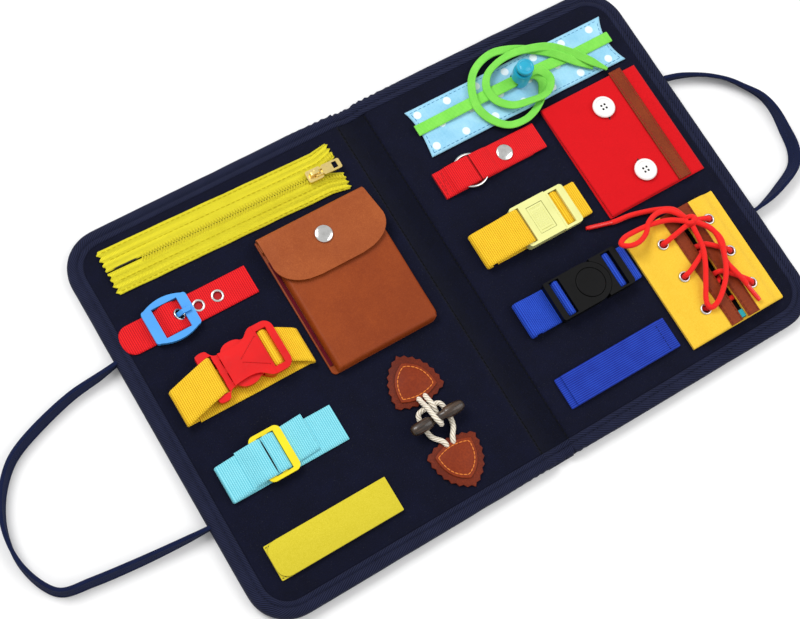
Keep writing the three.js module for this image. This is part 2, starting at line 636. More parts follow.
// Outer edge of the socket from mouth to tail, mirrored about its axis
function socketShape() {
  const shape = new THREE.Shape();
  const [mouth, waist, shoulder] = [socket.mouth / 2, socket.waist / 2, socket.shoulder / 2];
  const [flareShare, deepShare] = [0.42, 0.8];
  const flareX = socket.body * flareShare;
  const deepX = socket.body * deepShare;
  const r = socket.corner;
  shape.moveTo(0, -mouth);
  shape.quadraticCurveTo(flareX / 2, -waist, flareX, -waist);
  shape.bezierCurveTo(deepX, -waist, deepX, -shoulder, socket.body, -shoulder);
  shape.lineTo(socketEnd - r, -shoulder);
  shape.absarc(socketEnd - r, -shoulder + r, r, -Math.PI / 2, 0, false);
  shape.lineTo(socketEnd, shoulder - r);
  shape.absarc(socketEnd - r, shoulder - r, r, 0, Math.PI / 2, false);
  shape.lineTo(socket.body, shoulder);
  shape.bezierCurveTo(deepX, shoulder, deepX, waist, flareX, waist);
  shape.quadraticCurveTo(flareX / 2, waist, 0, mouth);
  return shape;
}

function socketSolid() {
  const half = socket.shoulder / 2 + cut;
  const whole = slab(socketShape(), clipLow, clipTop, 7);
  const aboveTail = box(socket.body, socketEnd + cut, -half, half, tailTop, clipTop + cut);
  const belowTail = box(socket.body, socketEnd + cut, -half, half, clipLow - cut, tailLow);
  const slotX = socket.body + socket.slotAt;
  const slot = slab(roundedRect(slotX, slotX + socket.slot, -slotHalf, slotHalf, fit), clipLow - cut,
    clipTop + cut);
  const room = box(-cut, plug.reach + fit, -socket.inner / 2, socket.inner / 2, plugLow - fit,
    plugTop + fit);
  const grooves = [-1, 1].map((side) => {
    const grooveShares = [[0.98, 0.44], [0.42, 0]];
    const line = grooveShares.map(([u, v]) => [socket.body * u, side * (socket.waist * v + socket.groove)]);
    return slab(strapOutline(line, socket.groove), clipTop - socket.grooveDepth, clipTop + cut);
  });
  const bar = innerBarSolid(tailBarX, tailBarZ, slotHalf + socket.slotAt);
  return joined(cutBy(whole, aboveTail, belowTail, slot, room, ...grooves), bar);
}
addPiece(clipGroup, 'side_release_socket', socketSolid(), finishes.redClip);

// One arm of the plug: it swells past the socket's waist, where fingers press it, then tapers
function armShape() {
  const [root, bulge, inner] = [plug.root / 2, plug.bulge, plug.armInner];
  const x = (share) => plug.reach * share;
  const [neckShare, swellShare, fullShare, shoulderShare, taperShare, tipShare] = [0.1, 0.2, 0.45, 0.66,
    0.85, 0.62];
  const roomHalf = socket.inner / 2 - fit;
  const shape = new THREE.Shape();
  shape.moveTo(-plug.armRoot, inner);
  shape.lineTo(-plug.armRoot, root);
  shape.lineTo(x(neckShare), root);
  shape.quadraticCurveTo(x(swellShare), bulge, x(fullShare), bulge);
  shape.quadraticCurveTo(x(shoulderShare), bulge, x(shoulderShare + neckShare), roomHalf);
  shape.lineTo(x(taperShare), roomHalf - fit);
  shape.quadraticCurveTo(plug.reach, roomHalf - plug.armRoot / 2, plug.reach, bulge * tipShare);
  shape.quadraticCurveTo(x(taperShare), inner, x(shoulderShare), inner + plug.armRoot / 2);
  shape.lineTo(x(swellShare), inner + plug.armRoot / 2);
  shape.closePath();
  return shape;
}

function plugSolid() {
  const [wing, root] = [plug.wing / 2, plug.root / 2];
  const lobeShare = 0.6;
  const lobeX = -plug.length + plug.length * lobeShare;
  const plate = new THREE.Shape();
  plate.moveTo(-plug.length, -wing + plug.armRoot / 2);
  plate.quadraticCurveTo(-plug.length, -wing, -plug.length + plug.armRoot, -wing);
  plate.quadraticCurveTo(lobeX, -wing, lobeX + fit, -wing + plug.armRoot / 2);
  plate.quadraticCurveTo(lobeX + plug.armRoot / 2, -root, 0 - fit, -root);
  plate.lineTo(0 - fit, root);
  plate.quadraticCurveTo(lobeX + plug.armRoot / 2, root, lobeX + fit, wing - plug.armRoot / 2);
  plate.quadraticCurveTo(lobeX, wing, -plug.length + plug.armRoot, wing);
  plate.quadraticCurveTo(-plug.length, wing, -plug.length, wing - plug.armRoot / 2);
  const slotX = -plug.length + plug.bar;
  const slot = slab(roundedRect(slotX, slotX + plug.slot, -slotHalf, slotHalf, fit), plugLow - cut,
    plugTop + cut);
  const arm = slab(armShape(), plugLow, plugTop, 5);
  const rail = box(-plug.armRoot, plug.railReach, -plug.rail / 2, plug.rail / 2, plugLow, plugTop);
  return joined(cutBy(slab(plate, plugLow, plugTop, 6), slot), arm, mirroredY(arm), rail);
}
addPiece(clipGroup, 'side_release_plug', plugSolid(), finishes.redClip);

// The plug's strap: a loose fold at the left, a run to the plug, and an end tucked down its slot
const clipSlope = clip.up / (strapColumn / 2 - plug.length);
function plugStrapSolid() {
  const t = webbing.thick / 2;
  const foldX = -clip.centre + webbing.loop;
  const foldZ = t + webbing.loop;
  const top = plugTop + fit + t;
  const slotMiddle = -plug.length + plug.bar + plug.slot / 2;
  const line = [[foldX + clip.base, t], ...arc(foldX, foldZ, webbing.loop, -Math.PI / 2, -Math.PI * 1.5),
    [-plug.length - plug.bar / 2, top], [slotMiddle - t * 2, top], [slotMiddle, top - t * 2],
      [slotMiddle, plugLow]];
  return skewed(crossBand(strapOutline(line, webbing.thick), 0, webbing.width), slotMiddle - t * 2, -1,
    -clipSlope);
}
addPiece(clipGroup, 'side_release_plug_strap', plugStrapSolid(), finishes.goldWeb);

// The base strap lies flat, folds back at the right and goes over the round bar in the socket's tail
function clipBaseSolid() {
  const low = -clip.up;
  const from = -clip.centre + webbing.loop + clip.base + fit;
  const endX = strapColumn - clip.centre + webbing.thick / 2;
  const foldX = endX - webbing.loop - webbing.thick / 2;
  const flat = box(from, foldX + fit, low - webbing.width / 2, low + webbing.width / 2, 0, webbing.thick);
  const under = tailLow - fit - webbing.thick / 2;
  const fold = webbingBand(innerBarLine(endX, webbing.loop, socketEnd, tailBarX, tailBarZ, under,
    clipLow + fit * 2));
  return joined(flat, skewed(fold, socketEnd - socket.slotAt, 1,
    -clip.up / (foldX - socketEnd + socket.slotAt)));
}
addPiece(clipGroup, 'side_release_base_strap', clipBaseSolid(), finishes.goldWeb);

// Tri-glide: a straight doubled strap, and a slide that grips it with a short bight over its middle bar

const glideGroup = station(leftColumn + glide.at, halfPage * rowShares.glide);
const doubled = webbing.thick * 2 + fit;
const glideLow = doubled + fit;
const glideTop = glideLow + glide.thick;
const glideLength = glide.leftBar + glide.slit * 2 + glide.centreBar + glide.rightBar;

function glideStrapSolid() {
  const t = webbing.thick / 2;
  const radius = (webbing.thick + fit) / 2;
  const left = -glide.at + radius + t + fit;
  const line = [[glide.reach - glide.at, t], ...arc(left, t + radius, radius, -Math.PI / 2, -Math.PI * 1.5,
    6),
    [glide.tail - glide.at, t + radius * 2]];
  const strap = crossBand(strapOutline(line, webbing.thick), 0, webbing.width);
  return strap.warp((v) => {
    if (v[2] > webbing.thick + fit / 2) v[1] += ((v[0] - left) / (glide.tail - glide.at - left))
      * glide.skew;
  });
}
addPiece(glideGroup, 'slide_base_strap', glideStrapSolid(), finishes.aquaWeb);

function glideSolid() {
  const half = glideLength / 2;
  const shape = roundedRect(-half, half, -glide.height / 2, glide.height / 2, glide.corner);
  const inner = glide.height / 2 - glide.side;
  const leftSlit = box(-half + glide.leftBar, -half + glide.leftBar + glide.slit, -inner, inner, 0,
    glideTop + cut);
  const rightSlit = box(half - glide.rightBar - glide.slit, half - glide.rightBar, -inner, inner, 0,
    glideTop + cut);
  return cutBy(slab(shape, glideLow, glideTop), leftSlit, rightSlit);
}
addPiece(glideGroup, 'triglide', glideSolid(), finishes.yellowGlide).position.y = glide.up;

// The webbing in the slide: up over its left bar, a dip into the slit, over the middle bar and down
function bightSolid() {
  const t = webbing.thick / 2;
  const [start, bar] = [-glideLength / 2, -glideLength / 2 + glide.leftBar];
  const right = glideLength / 2 - glide.rightBar - fit - t;
  const low = glideLow + t;
  const top = glideTop + fit + t;
  const dip = bar + glide.dipAt;
  const line = [[start - glide.ramp, low], [start - glide.ramp + webbing.thick, low], [start - fit, top],
    [dip - glide.dipHalf, top], [dip - t + fit, top - glide.dip], [dip + t - fit, top - glide.dip],
    [dip + glide.dipHalf, top], [(dip + right) / 2, top + glide.crown], [right - t * 2, top],
    [right, glideTop - t], [right, glideLow]];
  return webbingBand(line);
}
addPiece(glideGroup, 'slide_strap_bight', bightSolid(), finishes.aquaWeb).position.y = glide.up;

// Hook-and-loop strips: a sewn lower strip and an upper strip pressed on to it

const yellowGroup = station(leftColumn + grip.leftInset, halfPage * rowShares.grip);
const yellowHalf = grip.leftWidth / 2;
addPiece(yellowGroup, 'yellow_loop_strip', box(0, grip.leftLength, -yellowHalf, yellowHalf, 0, grip.thick),
  finishes.yellowGrip);
const yellowUpper = roundedRect(0, grip.leftLength, -yellowHalf, yellowHalf,
  [grip.corner, 0, 0, grip.corner]);
addPiece(yellowGroup, 'yellow_hook_strip', slab(yellowUpper, grip.thick + fit, grip.thick * 2 + fit),
  finishes.yellowGrip);

// Pouch: a leather pocket open at the top, under a flap that folds over from its back

const pouchGroup = station(leftPanel, halfPage - margin.top - zip.width - margin.row - pouch.height);
const pocketTop = pouch.leather * 2 + pouch.hollow;
const pocketMouth = pouch.height - pouch.mouth;
const flapBase = pocketTop + fit;
const snapX = panelColumn / 2 + fit * 2;
const snapY = pouch.height - pouch.snapDrop;

function pocketSolid() {
  const back = slab(roundedRect(0, panelColumn, 0, pouch.height, [pouch.corner, pouch.corner, 0, 0]), 0,
    pouch.leather);
  const front = slab(roundedRect(pouch.frontInset, panelColumn, 0, pocketMouth,
    [pouch.corner, pouch.corner, 0, 0]),
    pouch.leather / 2, pocketTop);
  const wall = pouch.leather;
  const room = box(pouch.frontInset + wall, panelColumn - wall, wall, pouch.height + cut, pouch.leather,
    pocketTop - pouch.leather);
  const stud = disc(snapX, snapY, pouch.stud, pocketTop - pouch.leather / 2, flapBase + pouch.studHeight,
    16);
  return joined(cutBy(joined(back, front), room), stud);
}
addPiece(pouchGroup, 'pouch_body', pocketSolid(), finishes.leather);

// The flap's front edge: straight sides that run into a wide curve
function flapShape() {
  const bottom = pouch.height - pouch.flapDrop;
  const [left, right, r] = [fit, panelColumn + pouch.taper - fit, pouch.flapRound];
  const wide = r + r / 2;
  const shape = new THREE.Shape();
  shape.moveTo(left, pouch.height + cut);
  shape.lineTo(left, bottom + r);
  shape.bezierCurveTo(left, bottom + r / 2, left + r / 2, bottom, left + wide, bottom);
  shape.lineTo(right - wide, bottom);
  shape.bezierCurveTo(right - r / 2, bottom, right, bottom + r / 2, right, bottom + r);
  shape.lineTo(right - pouch.taper, pouch.height + cut);
  shape.closePath();
  return shape;
}
const foldY = pouch.height - pouch.fold;
function flapSolid() {
  const t = pouch.leather / 2;
  const radius = (flapBase - pouch.leather - fit + pouch.leather) / 2;
  const low = pouch.leather + fit + t;
  const line = [[foldY - pouch.tuck, low], ...arc(foldY, low + radius, radius, -Math.PI / 2, Math.PI / 2,
    8),
    [pouch.height - pouch.flapDrop - cut, low + radius * 2]];
  const band = longBand(strapOutline(line, pouch.leather), -cut, panelColumn + pouch.taper + cut);
  const cap = turned([[0, flapBase + t], [pouch.snap, flapBase + t],
    [pouch.snap, flapBase + pouch.leather + pouch.snapHeight / 2],
    [pouch.snap * capShare, flapBase + pouch.leather + pouch.snapHeight],
    [0, flapBase + pouch.leather + pouch.snapHeight]], snapX, snapY, 20);
  const socketHole = disc(snapX, snapY, pouch.stud + fit * 2, flapBase - cut,
    flapBase + pouch.studHeight + fit, 16);
  return cutBy(joined(band.intersect(slab(flapShape(), -cut, flapBase + cut * 2, 8)), cap), socketHole);
}
addPiece(pouchGroup, 'pouch_flap', flapSolid(), finishes.leather);

// Toggle: two pinked tabs face each other; the upper one's cord wraps the toggle, the lower one's loop
// goes round that cord under the toggle

const toggleGroup = station(leftPanel + panelColumn / 2 + fit * 5,
  -halfPage + margin.bottom + toggleSet.length / 2);
const toggleZ = toggleSet.cord * 2 + fit * 2 + toggle.radius;

// Patch with a rounded point up, full sides and a bowed edge below, pinked all round, about its base's
// middle
function patchShape(width, height, sag, teeth, tooth) {
  const [hipShare, kneeShare] = [0.5, 0.75];
  const shape = new THREE.Shape();
  shape.moveTo(-width / 2, 0);
  for (let i = 0; i <= teeth; i += 1) {
    const x = -width / 2 + (width * i) / teeth;
    const bow = -sag * (1 - ((x * 2) / width) ** 2);
    shape.lineTo(x, bow - (i % 2) * tooth);
  }
  const hip = new THREE.Vector2(width * hipShare, height * kneeShare);
  const foot = new THREE.Vector2(width / 2, 0);
  const side = new THREE.QuadraticBezierCurve(foot, hip, new THREE.Vector2(0, height));
  const points = side.getSpacedPoints(teeth);
  const inward = points.map((point, i) => {
    const tangent = side.getTangentAt(i / teeth);
    const reach = (i % 2) * tooth;
    return [point.x - tangent.y * reach, point.y + tangent.x * reach];
  });
  inward.slice(1).forEach(([x, y]) => shape.lineTo(x, y));
  inward.slice(1, -1).reverse().forEach(([x, y]) => shape.lineTo(-x, y));
  shape.closePath();
  return shape;
}
function patchSolid() {
  const [w, h, facing] = [toggleSet.patchWidth, toggleSet.patchHeight, toggleSet.facing];
  const base = slab(patchShape(w, h, toggleSet.sag, toggleSet.teeth, toggleSet.tooth), 0,
    toggleSet.leather);
  const top = slab(patchShape(w * facing, h * facing, toggleSet.sag * facing, toggleSet.teeth, 0),
    toggleSet.leather / 2, toggleSet.leather * 2);
  return joined(base, top);
}
const patchBase = toggleSet.length / 2 - toggleSet.patchHeight;
const tabCordZ = toggleSet.leather * 2 + toggleSet.wrap / 2;

// The upper cord goes over the toggle, round its far side and back beneath it, in the groove
function upperTabSolid() {
  const x = toggleSet.strands / 2;
  const ring = toggle.groove + fit + toggleSet.wrap;
  const { behind } = toggleSet;
  const root = patchBase + toggleSet.bridge;
  const [low, high] = [toggleZ - ring, toggleZ + ring];
  const half = Math.SQRT1_2 * ring;
  const cord = sweep([[-x, root, tabCordZ], [-x, patchBase - toggleSet.sag, tabCordZ],
    [-x, behind - fit, toggleZ],
    [-x, half, toggleZ + half], [-x, 0, high], [-x / 2, -half, toggleZ + half], [0, -ring, toggleZ],
    [x / 2, -half, toggleZ - half], [x, 0, low], [x, half + fit, low + fit],
      [x, behind, toggleSet.cord * 2 + toggleSet.wrap + fit * 3],
    [x, patchBase - toggleSet.sag, tabCordZ], [x, root, tabCordZ]], 2, toggleSet.wrap * 2);
  return joined(patchSolid().translate([0, patchBase, 0]), cord);
}
addPiece(toggleGroup, 'toggle_tab_upper', upperTabSolid(), finishes.patch);

// The lower cord makes a loop that lies on the felt under the toggle and round the upper cord
function lowerTabSolid() {
  const x = toggleSet.strands / 2;
  const z = toggleSet.cord + fit / 2;
  const far = toggleSet.spread;
  const root = -patchBase - toggleSet.bridge;
  const side = (sign) => [[sign * x, root, tabCordZ], [sign * x, -patchBase + toggleSet.bridge, tabCordZ],
    [sign * (far - x / 2), -toggle.radius * 2, z], [sign * far, 0, z],
      [sign * (far - x / 2), toggle.radius * 2, z]];
  const cord = sweep([...side(-1), [0, toggleSet.behind, z], ...side(1).reverse()], 2, toggleSet.cord * 2);
  return joined(mirroredY(patchSolid().translate([0, patchBase, 0])), cord);
}
addPiece(toggleGroup, 'toggle_tab_lower', lowerTabSolid(), finishes.patch);

function toggleSolid() {
  const [half, r, groove, flat] = [toggle.length / 2, toggle.radius, toggle.groove, toggle.grooveHalf];
  const profile = [[0, -half], [toggle.endRadius, -half], [r, -half + toggle.end], [r, -flat - toggle.end],
    [groove, -flat], [groove, flat], [r, flat + toggle.end], [r, half - toggle.end],
      [toggle.endRadius, half], [0, half]];
  return turned(profile, 0, 0, 14).rotate([0, 90, 0]).translate([0, 0, toggleZ]);
}
addPiece(toggleGroup, 'toggle', toggleSolid(), finishes.horn);

// Drawstring: a cloth strip, a flat lace across it, and a cord lock that grips the lace and its two ends

const drawGroup = station(rightColumn, halfPage * rowShares.casing);

function casingSolid() {
  const [half, len, waist, flare] = [casing.width / 2, casing.length, casing.waist, casing.flare];
  const shape = new THREE.Shape();
  shape.moveTo(0, -half);
  shape.bezierCurveTo(waist / 2, -half / 2, waist, half / 2, 0, half);
  shape.lineTo(len + flare, half);
  shape.bezierCurveTo(len - waist, half / 2, len - waist, -half / 2, len + flare / 2, -half);
  shape.closePath();
  return slab(shape, 0, casing.thick, 8);
}
addPiece(drawGroup, 'casing', casingSolid(), finishes.casing).position.x = lace.inset;

const lockX = cordLock.at + lace.inset;
const lockLow = casing.thick + fit;
const holeLow = lockLow + cordLock.floor;
const laceLow = casing.thick + fit + lace.thick / 2;
const laceHigh = holeLow + fit + lace.thick / 2;
const endsHigh = laceHigh + lace.thick + fit;
const tipsHigh = endsHigh + lace.thick + fit;
const laceLength = casing.length + lace.inset;

function drawstringSolid() {
  const y = lace.up;
  const near = cordLock.radius + lace.width;
  const route = [[lace.inset, y, laceLow], [lace.inset * 2, y, laceLow],
    [lockX - cordLock.travel - near, y, laceHigh],
    [lockX, y, laceHigh], [lockX + near, y, laceHigh], [lockX + near * 2, y - fit, laceLow + lace.thick],
    [lockX + near * 3, y - lace.thick, laceLow], [laceLength, y - lace.thick, laceLow]];
  return sweep(route, 3, lace.thick, lace.width, true);
}
addPiece(drawGroup, 'drawstring', drawstringSolid(), finishes.greenLace);

// The two free ends, as they fell when the board was laid down, each with a short hard tip
const outerEndRoute = [[lockX - 3, 2.5, endsHigh], [lockX + 5, 2.5, endsHigh], [lockX + 10, 0.5, endsHigh],
  [lockX + 12.5, -5.5, endsHigh], [lockX + 9, -13, 4.4], [lockX + 2, -19.5, 4.2], [lockX - 6, -23.5, 4.2],
  [lockX - 14, -25, 4.2], [lockX - 25, -23, 4], [lockX - 34, -14, 4.6], [lockX - 38, -3, 5.8],
    [lockX - 35, 9, 5.6],
  [lockX - 27, 20, 3.4], [lockX - 17, 26, 2.6], [lockX - 5, 28, 2.6], [lockX + 7, 24.5, 3],
    [lockX + 17, 19, 3.6],
  [lockX + 24, 13.5, 5], [lockX + 31, 7, 5.8], [lockX + 40, -3, 5.8], [lockX + 51, -14, 3.4]];
const innerEndRoute = [[lockX - 3, 2.5, tipsHigh], [lockX + 5, 2.5, tipsHigh], [lockX + 13, 1, 8.6],
  [lockX + 17.5, -8, 7.6], [lockX + 10, -16, 7.6], [lockX - 4, -15.5, 7], [lockX - 16, -12.5, 6.4],
  [lockX - 24, -4, 6], [lockX - 25, 6, 6], [lockX - 19, 14.5, 5.4], [lockX - 9, 19, 5],
    [lockX + 4, 20.5, 5.2],
  [lockX + 17, 18, 6.2], [lockX + 30, 12.5, 7.4], [lockX + 40, 3.5, 7.4], [lockX + 50, -9, 7],
    [lockX + 59, -19.5, 4.4]];
const endRoutes = { outer: outerEndRoute, inner: innerEndRoute };
for (const name of Object.keys(endRoutes)) {
  addPiece(drawGroup, `drawstring_${name}_end`, sweep(endRoutes[name], 2, lace.thick, lace.width, true),
    finishes.greenLace);
}

// Cord lock: a barrel with a hole across it and a sprung button whose stem slides in its bore
function lockBodySolid() {
  const [r, bore, low] = [cordLock.radius, cordLock.bore, lockLow];
  const top = low + cordLock.height;
  const boreFloor = holeLow + cordLock.hole + cordLock.floor / 2;
  const barrel = turned([[0, low], [r - cordLock.round, low], [r, low + cordLock.round],
    [r, top - cordLock.round],
    [r - cordLock.round / 2, top], [bore, top], [bore, boreFloor], [0, boreFloor]], 0, 0, 20);
  const hole = box(-r - cut, r + cut, -cordLock.holeWidth / 2, cordLock.holeWidth / 2, holeLow,
    holeLow + cordLock.hole);
  return cutBy(barrel, hole);
}
addPiece(drawGroup, 'cord_lock_body', lockBodySolid(), finishes.cyanLock).position.set(lockX, lace.up, 0);

function lockButtonSolid() {
  const top = lockLow + cordLock.height;
  const [stem, cap] = [cordLock.stem, cordLock.cap];
  const under = top + cordLock.press + fit;
  const stemLow = holeLow + cordLock.hole + cordLock.floor / 2 + cordLock.press + fit;
  const capTop = under + cordLock.capHeight;
  return turned([[0, stemLow], [stem, stemLow], [stem, under], [cap, under], [cap, capTop - cordLock.round],
    [cap - cordLock.round, capTop], [stem - cordLock.round, capTop],
      [stem - cordLock.round * 2, capTop - cordLock.round / 2],
    [0, capTop - cordLock.round / 2]], 0, 0, 20);
}
addPiece(drawGroup, 'cord_lock_button', lockButtonSolid(), finishes.cyanLock).position.set(lockX, lace.up,
  0);

// Ring snap: a strap whose fold holds one side of a ring, and a tab over the other side that snaps down

const snapGroup = station(rightColumn + snapStrap.ringAt, halfPage * rowShares.snap);
const ringZ = snapStrap.thick + fit + snapStrap.wire;
const overRing = ringZ + snapStrap.wire + fit + snapStrap.thick / 2;

function ringStrapSolid() {
  const [t, w] = [snapStrap.thick / 2, snapStrap.width];
  const lower = box(-snapStrap.left, snapStrap.under, -w / 2, w / 2, 0, snapStrap.thick);
  const end = snapStrap.fold - t;
  const line = [[end, t], [end, overRing - t], [end - t, overRing], [-snapStrap.shoulder, overRing],
    [-snapStrap.rest, snapStrap.thick + t / 2], [-snapStrap.left, snapStrap.thick + t / 2]];
  const stud = disc(snapStrap.snapAt, 0, snapStrap.stud, t, snapStrap.thick + fit + snapStrap.studHeight,
    16);
  return joined(lower, crossBand(strapOutline(line, snapStrap.thick), 0, w), stud);
}
addPiece(snapGroup, 'ring_strap', ringStrapSolid(), finishes.redWeb);

function ringSolid() {
  const geometry = new THREE.TorusGeometry(snapStrap.ring, snapStrap.wire, 8, 26);
  geometry.translate(0, 0, ringZ);
  return solidOf(geometry);
}
addPiece(snapGroup, 'ring', ringSolid(), finishes.steel);

function snapTabSolid() {
  const [t, w] = [snapStrap.thick / 2, snapStrap.width];
  const rest = snapStrap.thick + fit + t;
  const line = [[snapStrap.fold + fit, overRing], [snapStrap.shoulder, overRing],
    [snapStrap.rest + t, rest], [snapStrap.right, rest]];
  const top = rest + t;
  const capTop = top + snapStrap.capHeight;
  const cap = turned([[0, top - t], [snapStrap.cap, top - t],
    [snapStrap.cap, top + snapStrap.capHeight / 2],
    [snapStrap.cap * capShare, capTop], [0, capTop]], snapStrap.snapAt, 0, 20);
  const seat = disc(snapStrap.snapAt, 0, snapStrap.stud + fit * 2, -cut,
    rest - t + snapStrap.studHeight + fit, 16);
  return cutBy(joined(crossBand(strapOutline(line, snapStrap.thick), 0, w), cap), seat);
}
addPiece(snapGroup, 'snap_tab', snapTabSolid(), finishes.redWeb);

// Felt button panel: a base, a buttoned flap whose leather-edged border lifts, and two sewn buttons

const feltGroup = station(rightPanel, halfPage * rowShares.buttons);
const feltHalf = feltPanel.height / 2;
const flapLow = feltPanel.base + fit;
const flapHigh = flapLow + feltPanel.felt;

addPiece(feltGroup, 'button_panel_base', box(0, panelColumn, -feltHalf, feltHalf, 0, feltPanel.base),
  finishes.redFelt);

function buttonFlapSolid() {
  const y = feltHalf + feltPanel.slant / 2;
  const flap = slab(polygon([[feltPanel.slant, -y + feltPanel.slant],
    [feltPanel.hinge, -y + feltPanel.slant],
    [feltPanel.hinge, y], [0, y]]), flapLow, flapHigh);
  const half = feltPanel.buttonholeWidth / 2;
  const holes = [-1, 1].map((side) => {
    const from = side * feltPanel.buttonHalf - feltPanel.buttonhole / 2;
    const slot = roundedRect(feltPanel.buttonAt - half, feltPanel.buttonAt + half, from,
      from + feltPanel.buttonhole, half - fit / 2);
    return slab(slot, -cut, flapHigh + cut);
  });
  return cutBy(flap, ...holes);
}
addPiece(feltGroup, 'button_flap', buttonFlapSolid(), finishes.redFelt);

function flapEdgeSolid() {
  const y = feltHalf + feltPanel.slant / 2;
  const low = -y + feltPanel.slant;
  const cloth = box(feltPanel.hinge + fit, feltPanel.edge - feltPanel.overlap, low, y, flapLow, flapHigh);
  const strip = box(feltPanel.felted, feltPanel.edge, low, y + feltPanel.slant, flapHigh - fit,
    flapHigh + feltPanel.leather);
  return joined(cloth, strip);
}
addPiece(feltGroup, 'button_flap_edge', flapEdgeSolid(), finishes.leather);

function buttonSolid() {
  const low = flapHigh + fit;
  const top = low + button.thick;
  const [r, rim, shank] = [button.radius, button.rim, button.shank];
  const body = turned([[0, feltPanel.base + fit], [shank, feltPanel.base + fit], [shank, low],
    [r - rim / 2, low],
    [r, low + rim / 2], [r, top - rim / 2], [r - rim / 2, top], [r - rim, top],
      [r - button.well, top - button.dish],
    [0, top - button.dish]], 0, 0);
  const holes = [0, 1, 2, 3].map((i) => {
    const angle = Math.PI / 4 + (i * Math.PI) / 2;
    const [x, y] = [Math.cos(angle) * button.spacing, Math.sin(angle) * button.spacing];
    return disc(x, y, button.hole, low + button.dish, top + cut, 8);
  });
  return cutBy(body, ...holes);
}
for (const [name, side] of [['button_upper', 1], ['button_lower', -1]]) {
  addPiece(feltGroup, name, buttonSolid(), finishes.whiteButton)
    .position.set(feltPanel.buttonAt, side * feltPanel.buttonHalf, 0);
}

// Press buckle: drawn about the seam between the body, at the left, and the fixed half, at the right

const pressGroup = station(rightColumn + pressClip.seamAt, halfPage * rowShares.press);
const clipBase = webbing.thick + fit;
const pressTop = clipBase + pressClip.height;
const tongueLow = clipBase + pressClip.tongueLift;
const tongueTop = tongueLow + pressClip.tongueThick;

// The strap of a fixed half carries on flat beneath the whole buckle
function fixedStrapSolid(from, endX, edge, barX, barZ, under) {
  const line = innerBarLine(endX, (under - webbing.thick / 2) / 2, edge, barX, barZ, under, clipBase + fit);
  const flat = box(from, line[0][0] + fit, -webbing.width / 2, webbing.width / 2, 0, webbing.thick);
  return joined(flat, webbingBand(line));
}

// The strap of a sliding body starts under its own fold
function bodyStrapSolid(line) {
  return webbingBand([[line[0][0] + clip.base, line[0][1]], ...line]);
}

const pressFold = -pressClip.seamAt;
const foldReach = webbing.loop + webbing.thick / 2 + clip.base + fit;
const pressBodySlot = -pressClip.length + pressClip.bar + pressClip.slot / 2;
const pressFrameTop = clipBase + pressClip.frameThick;
const pressBarX = pressClip.frameBar + innerBar.at;
const pressBarZ = innerBarHeight(pressFrameTop);
const pressUnder = clipBase + webbing.thick / 2;
const pressEnd = strapColumn - pressClip.seamAt - webbing.loop;
addPiece(pressGroup, 'press_base_strap',
  fixedStrapSolid(pressFold + foldReach, pressEnd, pressClip.frame, pressBarX, pressBarZ, pressUnder),
    finishes.goldWeb);
const pressBodyLine = overBarLine(pressFold, -pressClip.length, pressBodySlot, pressTop + fit,
  clipBase + fit);
addPiece(pressGroup, 'press_body_strap', bodyStrapSolid(pressBodyLine), finishes.goldWeb);

function pressBodySolid() {
  const [half, c] = [pressClip.width / 2, pressClip.corner];
  const shell = slab(roundedRect(-pressClip.length, -fit / 2, -half, half, [c, fit, fit, c]), clipBase,
    pressTop);
  const plateEnd = -pressClip.plateFrom;
  const plateStart = plateEnd - pressClip.plateLength;
  const [plateHalf, tongueHalf] = [pressClip.plateWidth / 2, pressClip.tongueWidth / 2];
  const recess = slab(roundedRect(plateStart - fit, plateEnd + fit, -plateHalf - fit, plateHalf + fit,
    fit), tongueTop + fit, pressTop + cut);
  const room = box(-pressClip.tongue - fit, cut, -tongueHalf - fit, tongueHalf + fit, tongueLow - fit,
    tongueTop + fit * 2);
  const slotX = -pressClip.length + pressClip.bar;
  const slot = box(slotX, slotX + pressClip.slot, -webbing.width / 2 - fit, webbing.width / 2 + fit, 0,
    pressTop + cut);
  return cutBy(shell, recess, room, slot);
}
addPiece(pressGroup, 'press_buckle_body', pressBodySolid(), finishes.cream);

function pressPlateSolid() {
  const [plateHalf, low] = [pressClip.plateWidth / 2, pressTop - pressClip.plateThick];
  const plateEnd = -pressClip.plateFrom;
  const plateStart = plateEnd - pressClip.plateLength;
  const plate = slab(roundedRect(plateStart, plateEnd, -plateHalf, plateHalf, fit), low, pressTop - fit);
  const grooves = [-1, 1].map((side) => {
    const y = side * (plateHalf - pressClip.hook);
    return box(plateStart + pressClip.hook, plateEnd - pressClip.hook, y - fit, y + fit,
      pressTop - fit * 2, pressTop + cut);
  });
  return cutBy(plate, ...grooves);
}
addPiece(pressGroup, 'press_plate', pressPlateSolid(), finishes.cream);

function tongueSolid() {
  const [half, c, width] = [pressClip.width / 2, pressClip.corner, pressClip.tongueWidth / 2];
  const frame = slab(roundedRect(fit / 2, pressClip.frame, -half, half, [fit, c, c, fit]), clipBase,
    pressFrameTop);
  const slotEnd = pressClip.frameBar + pressClip.frameSlot;
  const slot = box(pressClip.frameBar, slotEnd, -slotHalf, slotHalf, 0, pressFrameTop + cut);
  const notch = box(slotEnd - fit, pressClip.frame + cut, -slotHalf, slotHalf, 0,
    pressUnder + webbing.thick / 2 + fit);
  const blade = slab(roundedRect(-pressClip.tongue, pressClip.frameBar / 2, -width, width, [c, 0, 0, c]),
    tongueLow, tongueTop);
  return joined(cutBy(frame, slot, notch), blade, innerBarSolid(pressBarX, pressBarZ, slotHalf + fit * 3));
}
addPiece(pressGroup, 'press_tongue', tongueSolid(), finishes.cream);

// Centre-push buckle: drawn about its round button, with the fixed half and its two arms at the right

